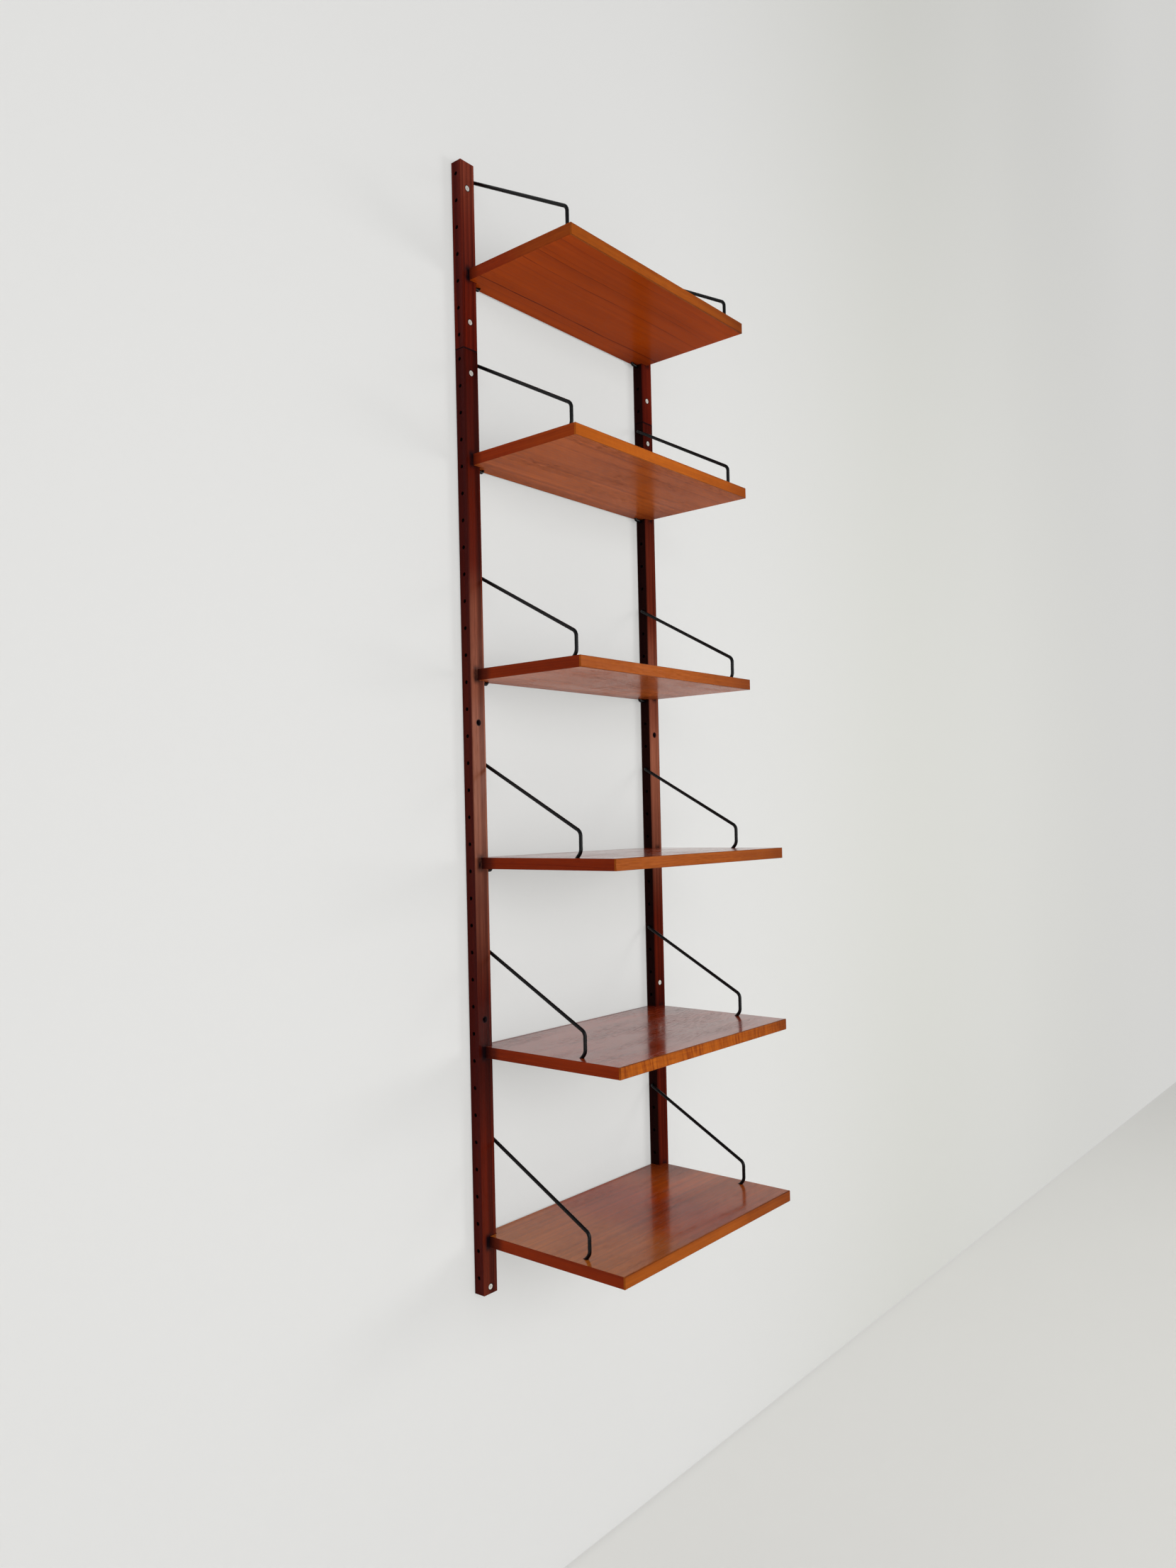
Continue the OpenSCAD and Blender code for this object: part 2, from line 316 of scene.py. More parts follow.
class StageSettings(bpy.types.PropertyGroup):
    """Room, lights and camera."""

    wall_colour: colour_property("Wall", "Paint of the wall", (232, 232, 231))
    # Painted shade: the wall turns this darker colour away from the bookcase, where the lamps light it less.
    wall_far_colour: colour_property("Wall, far", "Duller paint of the wall away from the bookcase", (220, 221, 214))
    floor_colour: colour_property("Floor", "Colour of the floor", (226, 225, 221))
    floor_height: FloatProperty(
        name="Floor height", description="Height of the floor above the origin", default=-1.491, unit="LENGTH"
    )
    world_strength: light_property("World", "Strength of the even light around", 0.4)
    world_seen: light_property("World seen", "Strength of the even light that the camera sees", 0.72)
    window_power: light_property("Window light", "Power of the soft light on the right", 29, "POWER")
    front_power: light_property("Front light", "Power of the broad light in front", 67, "POWER")
    lens: FloatProperty(
        name="Lens", description="Focal length over a 36 mm sensor", default=26.187, min=1, unit="CAMERA"
    )
    camera_place: FloatVectorProperty(
        name="Camera", description="Place of the camera", default=(-1.61058, -1.35852, -0.14068), subtype="TRANSLATION"
    )
    camera_turn: FloatVectorProperty(
        name="Camera turn", description="Rotation of the camera",
        default=tuple(math.radians(a) for a in (90.389, 1.244, -49.51)), subtype="EULER"
    )
    camera_shift: FloatVectorProperty(
        name="Lens shift", description="Shift of the lens across and up", default=(0.0173, 0.0169), size=2
    )


# ---- Shader nodes ----


def feed(tree, socket, value):
    """Links a socket to the one given, or sets it to the plain value given. A colour may come without its alpha."""
    if isinstance(value, bpy.types.NodeSocket):
        tree.links.new(value, socket)
    elif socket.type == "RGBA" and len(value) == 3:
        socket.default_value = (*value, 1)
    else:
        socket.default_value = value


def node(tree, kind, values=None, **settings):
    """Adds a node with its settings, and feeds its sockets."""
    made = tree.nodes.new("ShaderNode" + kind)
    for name, setting in settings.items():
        setattr(made, name, setting)
    for socket, value in (values or {}).items():
        feed(tree, made.inputs[socket], value)
    return made


def maths(tree, operation, *values, clamp=False):
    return node(tree, "Math", dict(enumerate(values)), operation=operation, use_clamp=clamp).outputs[0]


def vector_maths(tree, operation, *values):
    made = node(tree, "VectorMath", dict(enumerate(values)), operation=operation)
    return made.outputs["Value" if operation == "LENGTH" else "Vector"]


def split(tree, place):
    """The X, Y and Z of a place."""
    return node(tree, "SeparateXYZ", {0: place}).outputs


def noise(tree, place, scale, detail, roughness=0.5):
    return node(
        tree, "TexNoise", {"Vector": place, "Scale": scale, "Detail": detail, "Roughness": roughness}
    ).outputs["Fac"]


def ramp(tree, value, start, end, low=0.0, high=1.0, smooth=False):
    """Maps start to end onto low to high, and stops there."""
    return node(
        tree,
        "MapRange",
        {"Value": value, "From Min": start, "From Max": end, "To Min": low, "To Max": high},
        interpolation_type="SMOOTHSTEP" if smooth else "LINEAR",
    ).outputs["Result"]


def blend_colour(tree, share, first, second):
    made = node(tree, "Mix", data_type="RGBA")
    for identifier, value in (("Factor_Float", share), ("A_Color", first), ("B_Color", second)):
        feed(tree, next(s for s in made.inputs if s.identifier == identifier), value)
    return next(s for s in made.outputs if s.identifier == "Result_Color")


def new_group(name, inputs, outputs):
    """An empty node group: its tree, its inputs, and what it puts out."""
    tree = bpy.data.node_groups.new(name, "ShaderNodeTree")
    for in_out, sockets in (("INPUT", inputs), ("OUTPUT", outputs)):
        for label, kind, *default in sockets:
            socket = tree.interface.new_socket(label, in_out=in_out, socket_type="NodeSocket" + kind)
            if default:
                socket.default_value = default[0]
    return tree, tree.nodes.new("NodeGroupInput").outputs, tree.nodes.new("NodeGroupOutput").inputs


def stretched_noise(tree, place, stretch, detail=2.0, roughness=0.5):
    """Noise stretched along the fibres: stretch is how often it turns over in a metre, along and across them."""
    along, across = stretch
    scaled = vector_maths(tree, "MULTIPLY", place, (along, across, across))
    return node(tree, "TexNoise", {"Vector": scaled, "Scale": 1.0, "Detail": detail, "Roughness": roughness}).outputs


def make_teak_grain():
    """Teak seen on any cut: growth rings round a pith beside the piece, fibre streaks, open pores and ribbon figure.

    Fibres run along the group's X. Cut is where the piece lay in the trunk, and Lean how far the pith runs askew.
    """
    tree, given, wanted = new_group(
        "Teak grain",
        [
            ("Vector", "Vector"),
            ("Cut", "Vector", (0, 0, 0)),
            ("Lean", "Float", 0.05),
            ("Waviness", "Float", 0.02),
            ("Ring Spacing", "Float", 0.01),
            ("Early Wood", "Color"),
            ("Late Wood", "Color"),
            ("Pore Colour", "Color"),
            ("Rings", "Float", 0.3),
            ("Ring Lines", "Float", 0.5),
            ("Pores", "Float", 0.5),
            ("Ribbon", "Float", 0.0),
        ],
        [("Color", "Color"), ("Height", "Float"), ("Pore Mask", "Float")],
    )
    place = vector_maths(tree, "ADD", given["Vector"], given["Cut"])
    wander = stretched_noise(tree, place, (2.6, 5), 2.0)["Color"]
    wander = vector_maths(tree, "SUBTRACT", wander, (0.5, 0.5, 0.5))
    wander = node(tree, "VectorMath", {0: wander, "Scale": given["Waviness"]}, operation="SCALE").outputs[0]
    x, y, z = split(tree, vector_maths(tree, "ADD", place, wander))
    upward = maths(tree, "MULTIPLY_ADD", x, given["Lean"], z)
    radius = maths(tree, "SQRT", maths(tree, "ADD", maths(tree, "POWER", y, 2.0), maths(tree, "POWER", upward, 2.0)))
    turns = maths(tree, "DIVIDE", radius, given["Ring Spacing"])
    slow = maths(tree, "MULTIPLY", turns, 0.4)
    seasons = node(tree, "TexNoise", {"W": slow, "Scale": 1.0, "Detail": 1.0}, noise_dimensions="1D")
    turns = maths(tree, "MULTIPLY_ADD", seasons.outputs["Fac"], 2.4, turns)
    year = node(tree, "TexWhiteNoise", {"W": maths(tree, "FLOOR", turns)}, noise_dimensions="1D").outputs["Value"]
    season = maths(tree, "FRACT", turns)
    late = maths(tree, "MULTIPLY", ramp(tree, season, 0.15, 0.95, smooth=True), ramp(tree, year, 0.0, 1.0, 0.2, 1.0))
    line = maths(
        tree, "MULTIPLY",
        maths(
            tree, "MULTIPLY", ramp(tree, season, 0.91, 0.96, smooth=True), ramp(tree, season, 1.0, 0.97, smooth=True)
        ),
        ramp(tree, year, 0.15, 0.8),
    )
    paling = ramp(tree, stretched_noise(tree, place, (9, 60))["Fac"], 0.35, 0.6, 0.25, 1.0)
    line = maths(tree, "MULTIPLY", line, paling)
    streaks = ramp(tree, stretched_noise(tree, place, (1.8, 80), 3.0, 0.55)["Fac"], 0.25, 0.75)
    fibres = ramp(tree, stretched_noise(tree, place, (16, 900), 3.0, 0.6)["Fac"], 0.25, 0.75)
    cloud = ramp(tree, stretched_noise(tree, place, (3, 9))["Fac"], 0.3, 0.7)
    slanted = node(tree, "Mapping", {"Vector": place, "Rotation": (0, math.radians(12), 0)}).outputs[0]
    ribbon = ramp(tree, stretched_noise(tree, slanted, (150, 20), 3.0, 0.6)["Fac"], 0.38, 0.62)
    gathered = ramp(tree, stretched_noise(tree, place, (14, 5))["Fac"], 0.35, 0.6, 0.3, 1.0)
    ribbon = maths(tree, "MULTIPLY", ribbon, gathered)
    dashes = ramp(tree, stretched_noise(tree, place, (50, 1700), 1.0)["Fac"], 0.47, 0.62)
    bunches = ramp(tree, stretched_noise(tree, place, (5, 26))["Fac"], 0.36, 0.62, 0.3, 1.0)
    pores = maths(tree, "MULTIPLY", dashes, bunches)
    shade = maths(tree, "MULTIPLY_ADD", fibres, 0.2, maths(tree, "MULTIPLY", cloud, 0.26))
    shade = maths(tree, "MULTIPLY_ADD", streaks, 0.46, shade)
    shade = maths(tree, "MULTIPLY_ADD", late, given["Rings"], shade)
    shade = maths(tree, "MULTIPLY_ADD", maths(tree, "SUBTRACT", ribbon, 0.35), given["Ribbon"], shade, clamp=True)
    colour = blend_colour(tree, shade, given["Early Wood"], given["Late Wood"])
    colour = blend_colour(tree, maths(tree, "MULTIPLY", line, given["Ring Lines"]), colour, given["Pore Colour"])
    colour = blend_colour(tree, maths(tree, "MULTIPLY", pores, given["Pores"]), colour, given["Pore Colour"])
    height = maths(tree, "MULTIPLY_ADD", fibres, 0.2, maths(tree, "MULTIPLY", pores, -1.0))
    for output, value in (("Color", colour), ("Height", height), ("Pore Mask", pores)):
        feed(tree, wanted[output], value)
    return tree


def make_rubbed_arris():
    """An edge that hands and dusters have rubbed: darkened polish with small paler chips along it."""
    tree, given, wanted = new_group(
        "Rubbed arris",
        [
            ("Vector", "Vector"),
            ("Wood", "Color"),
            ("Polish", "Color"),
            ("Darkening", "Float", 0.5),
            ("Chips", "Float", 0.5),
        ],
        [("Color", "Color")],
    )
    patches = noise(tree, given["Vector"], 28.0, 3.0, 0.7)
    nicks = noise(tree, given["Vector"], 190.0, 2.0)
    chips = maths(tree, "MULTIPLY", ramp(tree, patches, 0.56, 0.7), ramp(tree, nicks, 0.56, 0.68))
    chips = maths(tree, "MULTIPLY", chips, given["Chips"])
    dark = blend_colour(tree, given["Darkening"], given["Wood"], given["Polish"])
    worn = blend_colour(tree, chips, dark, blend_colour(tree, 0.3, given["Wood"], (0.62, 0.34, 0.16)))
    feed(tree, wanted["Color"], worn)
    return tree


def use_group(tree, name, values):
    """Places the node group of that name, which is made the first time it is asked for."""
    makers = {"Teak grain": make_teak_grain, "Rubbed arris": make_rubbed_arris}
    group = bpy.data.node_groups.get(name) or makers[name]()
    return node(tree, "Group", values, node_tree=group).outputs


def empty_material(name):
    """A material without nodes, its tree, and the coordinates of the object it is on."""
    material = bpy.data.materials.new(name)
    material.use_nodes = True
    tree = material.node_tree
    tree.nodes.clear()
    return material, tree, node(tree, "TexCoord").outputs["Object"]


def finish_surface(tree, values):
    """Ends a material with a Principled BSDF of those values."""
    node(tree, "OutputMaterial", {"Surface": node(tree, "BsdfPrincipled", values).outputs[0]})


# ---- Masks: shares from 0 to 1 over a place ----


def share_along(tree, place, axis, stops):
    """A share that changes smoothly along an axis. A stop is a place on it and the share there."""
    first, last = stops[0][0], stops[-1][0]
    made = node(tree, "ValToRGB", {"Fac": ramp(tree, split(tree, place)[axis], first, last)})
    made.color_ramp.interpolation = "EASE"
    elements = made.color_ramp.elements
    while len(elements) < len(stops):
        elements.new(0.5)
    for element, (where, share) in zip(elements, stops):
        element.position = (where - first) / (last - first)
        element.color = (share, share, share, 1)
    return made.outputs["Color"]


def rail_front(tree, place, full, elsewhere=0.0):
    """The front of a rail, from 1.5 mm behind it, where only some share is left, to where it is full."""
    return ramp(tree, split(tree, place)["Y"], 0.0015 - RAIL_DEPTH, full - RAIL_DEPTH, elsewhere, 1.0)


def front_along(tree, place, stops):
    """A share that changes up a rail, and is fully there on its front only."""
    return maths(tree, "MULTIPLY", share_along(tree, place, "Z", stops), rail_front(tree, place, 0.0003, 0.15))


def distance(tree, value, middle):
    """How far a value lies from a middle, on either side."""
    return maths(tree, "ABSOLUTE", maths(tree, "SUBTRACT", value, middle))


def nearest_height(tree, place, heights):
    """Distance up or down to the nearest of some heights."""
    nearest, z = 1.0, split(tree, place)["Z"]
    for height in heights:
        nearest = maths(tree, "MINIMUM", nearest, distance(tree, z, height))
    return nearest


def screw_ring_shade(tree, place, middle, heights):
    """Painted shade: a dark ring round each screw hole, where the sunk head's countersink lies in shadow, and on the
    wood beside it.
    """
    across = maths(tree, "POWER", maths(tree, "SUBTRACT", split(tree, place)["X"], middle), 2.0)
    along = maths(tree, "POWER", nearest_height(tree, place, heights), 2.0)
    radius = maths(tree, "SQRT", maths(tree, "ADD", across, along))
    return maths(tree, "MULTIPLY", ramp(tree, radius, 0.0066, 0.0049, smooth=True), 0.9)


def shelf_end_shadows(tree, place, middle, heights):
    """Soft painted contact shadows beside a rail's middle, one where each shelf's end meets the rail's front."""
    nearest = nearest_height(tree, place, heights)
    across = distance(tree, split(tree, place)["X"], middle)
    fuzz = ramp(tree, noise(tree, place, 110.0, 2.0), 0.25, 0.55, 0.6, 1.0)
    mark = ramp(tree, nearest, 0.019, 0.007, smooth=True)
    mark = maths(tree, "MULTIPLY", mark, ramp(tree, across, 0.011, 0.002, smooth=True))
    mark = maths(tree, "MULTIPLY", mark, fuzz)
    return maths(tree, "MULTIPLY", mark, rail_front(tree, place, 0.0005))


def rail_recess_shade(tree, place, middle, ends):
    """Painted shade in the walls of a rail's holes and in the seam between its two pieces."""
    skin, half_depth = 0.001, RAIL_DEPTH / 2
    x, y, z = split(tree, place)
    inside = ramp(tree, distance(tree, x, middle), RAIL_HALF_WIDTH, RAIL_HALF_WIDTH - skin)
    inside = maths(tree, "MULTIPLY", inside, ramp(tree, distance(tree, y, -half_depth), half_depth, half_depth - skin))
    for end, inward in zip(ends, (skin, -skin)):
        inside = maths(tree, "MULTIPLY", inside, ramp(tree, z, end + inward * 0.2, end + inward))
    seam = ramp(tree, nearest_height(tree, place, [RAIL_JOINT]), 0.0019, 0.0011, 0.0, 0.9)
    return maths(tree, "MAXIMUM", inside, seam)


def near_corner(tree, place, corner, reach, share):
    """Painted shade that is darkest at a corner and reaches some way from it."""
    away = vector_maths(tree, "LENGTH", vector_maths(tree, "SUBTRACT", place, corner))
    return ramp(tree, away, reach, 0.0, 0.0, share, smooth=True)


def left_side(tree, place, side_x, share):
    """The side of a piece that lies left of an X."""
    return ramp(tree, split(tree, place)["X"], side_x, side_x - 0.001, 0.0, share)


def make_teak(name, settings, colours, fibres, roughness, gloss=0.03, arris=False, patina=(), shade_and_tone=(), **grain):
    """Oiled or lacquered teak whose fibres run along one axis.

    arris makes it the wood of a rubbed edge. Each of patina is a mask, and what the early and the late wood turn to
    under it: real tones, and also painted highlights and painted shade. Each of shade_and_tone is a mask, and the
    colour it
    lays over the grain: painted shade, and the darker tone of a rail's side. grain is fed to the grain's group.
    """
    material, tree, place = empty_material(name)
    early, late = colours
    for mask, early_toward, late_toward in patina:
        share = mask(tree, place)
        early, late = blend_colour(tree, share, early, early_toward), blend_colour(tree, share, late, late_toward)
    turned = node(tree, "Mapping", {"Vector": place, "Rotation": fibres}).outputs[0]
    values = {"Vector": turned, "Early Wood": early, "Late Wood": late, "Pore Colour": settings.pore}
    values.update({key.replace("_", " ").title(): value for key, value in grain.items()})
    wood = use_group(tree, "Teak grain", values)
    colour = wood["Color"]
    if arris:
        values = {"Vector": place, "Wood": colour, "Polish": settings.pore, "Darkening": 0.4, "Chips": 0.45}
        colour = use_group(tree, "Rubbed arris", values)["Color"]
    for mask, tone in shade_and_tone:
        colour = blend_colour(tree, mask(tree, place), colour, tone)
    colour = blend_colour(tree, node(tree, "LightPath").outputs["Is Diffuse Ray"], colour, settings.cast)
    handled = ramp(tree, noise(tree, place, 9.0, 3.0), 0.3, 0.7, roughness - 0.04, roughness + 0.05)
    rough = maths(tree, "MULTIPLY_ADD", wood["Pore Mask"], 0.32, handled)
    bump = node(tree, "Bump", {"Height": wood["Height"], "Distance": settings.pore_depth, "Strength": 0.25})
    values = {"Base Color": colour, "Roughness": rough, "Normal": bump.outputs[0], "Specular IOR Level": gloss}
    finish_surface(tree, values)
    return material


# ---- Pieces ----


def merged_copy(source):
    """A bmesh of a frame node with its loose triangles joined, and its flat faces whole again."""
    bm = bmesh.new()
    bm.from_mesh(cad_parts[source].data)
    bmesh.ops.remove_doubles(bm, verts=bm.verts, dist=1e-6)
    bmesh.ops.dissolve_limit(bm, angle_limit=math.radians(0.3), verts=bm.verts, edges=bm.edges)
    return bm


def edges_at(edges, y):
    """Those of some edges that lie in the plane across that Y."""
    return [e for e in edges if all(abs(v.co.y - y) < ON_PLANE for v in e.verts)]


def bevel(bm, edges, width, segments, material):
    bmesh.ops.bevel(
        bm, geom=edges, offset=width, offset_type="OFFSET", segments=segments, profile=0.5, affect="EDGES",
        material=material, clamp_overlap=True
    )


def new_object(name, bm, materials):
    """Links an object with the bmesh's faces and the materials to the scene."""
    mesh = bpy.data.meshes.new(name)
    bm.to_mesh(mesh)
    bm.free()
    for material in materials:
        mesh.materials.append(material)
    made = bpy.data.objects.new(name, mesh)
    bpy.context.scene.collection.objects.link(made)
    return made


def add_piece(name, bm, materials, body, slot, *stands_for):
    """Turns a bmesh into a finished piece that rides on a body and stands for frame nodes."""
    bmesh.ops.recalc_face_normals(bm, faces=bm.faces)
    piece = new_object(name, bm, materials)
    piece.data.set_sharp_from_angle(angle=math.radians(35))
    for polygon in piece.data.polygons:
        polygon.use_smooth = max(abs(c) for c in polygon.normal) < 0.9999
    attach(piece, body)
    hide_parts(*stands_for)


def finish_with(piece, material):
    piece.data.materials.clear()
    piece.data.materials.append(material)


# ---- Operators ----


class BOOKCASE_OT_rails(bpy.types.Operator):
    """Lacquer the four pieces of the wall rails, each cut from its own plank"""

    bl_idname = "bookcase.rails"
    bl_label = "Wall rails"

    def execute(self, context):
        teak = context.scene.bookcase_teak
        heights = [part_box(f"shelf_{k}_panel")[0].z + BOARD_HALF_THICKNESS for k in SHELF_LOOKS]
        shelves_on = {"upper": heights[:1], "lower": heights[1:]}
        woods = {"lower": teak.wood("rail"), "upper": teak.wood("top_rail")}
        shelf_low, shelf_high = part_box("shelf_1_panel")
        sides = {
            "left": (-RAIL_X, shelf_low.x - SHADE_PAST_BOARD, teak.red_side, 0.045),
            "right": (RAIL_X, shelf_high.x + SHADE_PAST_BOARD, teak.shaded_side, 0.007),
        }
        for name, look in RAIL_LOOKS.items():
            part, _, side = name.split("_")
            middle, shade_x, side_darkening, gloss = sides[side]
            side_x = middle - RAIL_HALF_WIDTH + 0.001
            ends = [corner.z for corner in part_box(name)]
            material = make_teak(
                name + "_teak", teak, woods[part], ALONG_Z, teak.rail_roughness, gloss,
                patina=(
                    # Painted highlight: the window's reflection laid up the front as paler wood.
                    (partial(front_along, stops=look.paling), *teak.wood("paling")),
                    # Painted shade: darker stretches up the front.
                    (partial(front_along, stops=RAIL_IN_SHADE[part]), *teak.wood("deep")),
                ),
                shade_and_tone=(
                    # Painted shade: contact shadows where the shelves' ends meet the rail.
                    (partial(shelf_end_shadows, middle=shade_x, heights=shelves_on[part]), teak.painted_shade),
                    (partial(rail_recess_shade, middle=middle, ends=ends), teak.painted_shade),
                    (partial(screw_ring_shade, middle=middle, heights=SCREW_HEIGHTS), teak.painted_shade),
                    # Painted shade on the right rails' inner sides; a darker, redder tone on the left rails' outer
                    # sides.
                    (partial(left_side, side_x=side_x, share=look.side_darkening), side_darkening),
                ),
                cut=look.cut, lean=look.lean, waviness=0.008, ring_spacing=teak.rail_ring_spacing, rings=0.45,
                ring_lines=0.25, pores=0.3
            )
            finish_with(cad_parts[name], material)
        return {"FINISHED"}


class BOOKCASE_OT_shelves(bpy.types.Operator):
    """Cut the six shelf boards with rubbed edges, veneered faces and veneered ends"""

    bl_idname = "bookcase.shelves"
    bl_label = "Shelf boards"

    def execute(self, context):
        teak, sizes = context.scene.bookcase_teak, context.scene.bookcase_board
        for k, look in SHELF_LOOKS.items():
            low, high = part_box(f"shelf_{k}_panel")
            materials = [*self.faces(k, look, low, high, teak), *self.edges(k, look, low, teak)]
            self.cut_board(k, low, high, sizes, materials)
        return {"FINISHED"}

    def faces(self, k, look, low, high, teak):
        """Veneers of a board's top and underside, both with painted shade at the back corner beside the right rail."""
        side = -0.42 if k % 2 else 0.45
        top_cut, under_cut = (0.57 * k, -side, 0.09 - high.z), (0.83 * k, side, -low.z - 0.08)
        top_corner_shade = partial(near_corner, corner=high, reach=0.16, share=0.8)
        under_corner_shade = partial(near_corner, corner=(high.x, high.y, low.z), reach=0.15, share=0.65)
        for label, face, cut, corner_shade in (
            ("top", look.top, top_cut, top_corner_shade),
            ("under", look.under, under_cut, under_corner_shade),
        ):
            patina = ()
            if face.worn:
                patina = ((partial(share_along, axis="X", stops=face.worn), *teak.wood("worn_top")),)
            yield make_teak(
                f"shelf_{k}_{label}_veneer", teak, teak.wood(face.wood), ALONG_X, face.roughness, face.gloss,
                patina=patina, shade_and_tone=((corner_shade, teak.deep_light),), cut=cut, lean=0.02 + 0.01 * (k % 3), waviness=0.02,
                rings=0.26, ring_spacing=face.ring_spacing, ring_lines=face.ring_lines, pores=face.pores
            )

    def edges(self, k, look, low, teak):
        """Veneer of a board's ends and back, with painted shade where the ends meet the rails, and its rubbed arrises.
        """
        wood = toned(teak.wood("edge"), look.edge_tone)
        ends = {
            "cut": (0.31 * k, 0.3, 0.21 - low.z), "lean": 0.01, "ring_spacing": 0.007, "ring_lines": 0.15,
            "pores": 0.25,
        }
        # Painted shade on the ends, darkest at the rails and fading towards the front.
        share, reach = look.painted_shade
        at_rail = -RAIL_DEPTH - 0.0005
        stops = ((at_rail - reach, 0.0), (at_rail - reach / 2, share), (at_rail, share + 0.3))
        patina = [(partial(share_along, axis="Y", stops=stops), teak.painted_shade, teak.painted_shade)]
        if look.pale_front:
            stops = ((low.y, look.pale_front), (low.y * 0.7, look.pale_front * 0.7), (low.y * 0.35, 0.0))
            patina.append((partial(share_along, axis="Y", stops=stops), *teak.wood("strip")))
        yield make_teak(f"shelf_{k}_edge_veneer", teak, wood, ALONG_Y, teak.board_roughness, patina=patina, **ends)
        yield make_teak(f"shelf_{k}_arris", teak, wood, ALONG_X, teak.board_roughness + 0.1, arris=True, **ends)

    def cut_board(self, k, low, high, sizes, materials):
        """Rubs a board's edges, finely where the front strip is glued on, and leaves those of its small holes sharp."""
        top, under, edge, arris = range(4)
        bm = merged_copy(f"shelf_{k}_panel")
        for face in bm.faces:
            face.material_index = top if face.normal.z > 0.5 else under if face.normal.z < -0.5 else edge
        sharp = [e for e in bm.edges if len(e.link_faces) == 2 and e.calc_face_angle() > SHARP]
        in_joint = edges_at(sharp, low.y)
        on_face = {e for e in sharp if all(min(v.co.z - low.z, high.z - v.co.z) < ON_PLANE for v in e.verts)}
        outer = [e for e in sharp if e not in in_joint and (e in on_face or e.calc_length() > SHORTEST_RUBBED)]
        for edges, width in ((outer, sizes.arris), (in_joint, sizes.joint)):
            bevel(bm, [e for e in edges if e.is_valid], width, 2, arris)
        add_piece(f"shelf_{k}_board", bm, materials, f"shelf_{k}", "shelf_veneer", f"shelf_{k}_panel")


class BOOKCASE_OT_front_strips(bpy.types.Operator):
    """Plane the strips along the fronts of the shelves"""

    bl_idname = "bookcase.front_strips"
    bl_label = "Front strips"

    def execute(self, context):
        teak, sizes = context.scene.bookcase_teak, context.scene.bookcase_board
        for k, look in SHELF_LOOKS.items():
            name = f"shelf_{k}_front_strip"
            low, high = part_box(name)
            wood = toned(teak.wood("strip"), look.strip_tone)
            darkened = partial(share_along, axis="X", stops=STRIP_DARKENED)
            looks = {
                "patina": ((darkened, wood[1], *toned(wood[1:], 0.5)),), "cut": (1.37 * k, 0.3, 0.07 * k - low.z),
                "lean": 0.01, "waviness": 0.01, "ring_spacing": 0.009, "rings": 0.2, "ring_lines": 0.15, "pores": 0.3,
                "ribbon": look.ribbon,
            }
            materials = [
                make_teak(f"shelf_{k}_strip_{label}", teak, wood, ALONG_X, teak.board_roughness, arris=arris, **looks)
                for label, arris in (("teak", False), ("arris", True))
            ]
            bm = bmesh.new()
            matrix = Matrix.Translation((low + high) / 2) @ Matrix.Diagonal((*(high - low), 1))
            bmesh.ops.create_cube(bm, size=1, matrix=matrix)
            for y, width, segments in ((low.y, sizes.strip_arris, 4), (high.y, sizes.joint, 1)):
                bevel(bm, edges_at(bm.edges, y), width, segments, 1)
            add_piece(f"shelf_{k}_lipping", bm, materials, f"shelf_{k}", "front_strip_teak", name)
        return {"FINISHED"}


class BOOKCASE_OT_rods(bpy.types.Operator):
    """Lacquer the hangers and rear pins satin black"""

    bl_idname = "bookcase.rods"
    bl_label = "Hangers and rear pins"

    def execute(self, context):
        metal = context.scene.bookcase_metal
        material, tree, place = empty_material("black_rod")
        mottle = noise(tree, place, 240.0, 3.0)
        handled = ramp(tree, noise(tree, place, 18.0, 4.0, 0.7), 0.45, 0.75, 0.0, 0.5)
        tone = blend_colour(tree, handled, metal.rod_colour, (0.004, 0.0045, 0.006))
        gloss = ramp(tree, mottle, 0.3, 0.7, metal.rod_roughness - 0.05, metal.rod_roughness + 0.08)
        bump = node(tree, "Bump", {"Height": mottle, "Distance": 0.00004, "Strength": 0.4})
        values = {"Base Color": tone, "Roughness": gloss, "Normal": bump.outputs[0], "Specular IOR Level": 0.2}
        finish_surface(tree, values)
        for name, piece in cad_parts.items():
            if name.startswith(("hanger", "rear_pin")):
                finish_with(piece, material)
        return {"FINISHED"}


